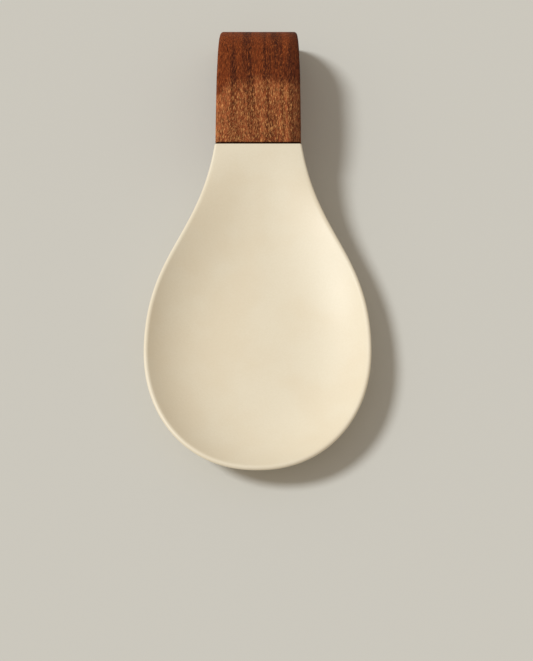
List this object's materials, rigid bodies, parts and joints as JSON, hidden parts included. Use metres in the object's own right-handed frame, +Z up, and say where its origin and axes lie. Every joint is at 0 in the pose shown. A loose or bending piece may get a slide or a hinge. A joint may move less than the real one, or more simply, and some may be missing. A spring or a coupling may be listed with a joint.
{
  "type": "spoon rest",
  "caption": "Teardrop stoneware spoon rest with a dished bowl and a raised neck that runs into a wooden arch handle, held by a screwed lap joint.",
  "frame": {"origin": "on the counter, under the middle of the whole rest, from the front of the bowl to the back of the arch", "axes": "+Y from the bowl to the arch handle, +X to the right seen from the bowl, +Z up off the counter"},
  "size_m": [0.1, 0.241, 0.0319],
  "materials": {
    "stoneware": "matt cream glaze, unglazed foot",
    "walnut": "oiled, grain along the handle",
    "steel": "plain stainless",
    "nylon": "natural white, matt",
    "silicone": "milky, matt"
  },
  "bodies": {
    "root": {"tray": "stoneware", "arch_handle": "walnut", "handle_screw_left": "steel", "handle_screw_right": "steel", "screw_washer_left": "nylon", "screw_washer_right": "nylon", "tray_pad_front_left": "silicone", "tray_pad_front_right": "silicone", "tray_pad_back_left": "silicone", "tray_pad_back_right": "silicone", "arch_pad_left": "silicone", "arch_pad_right": "silicone"}
  },
  "joints": []
}
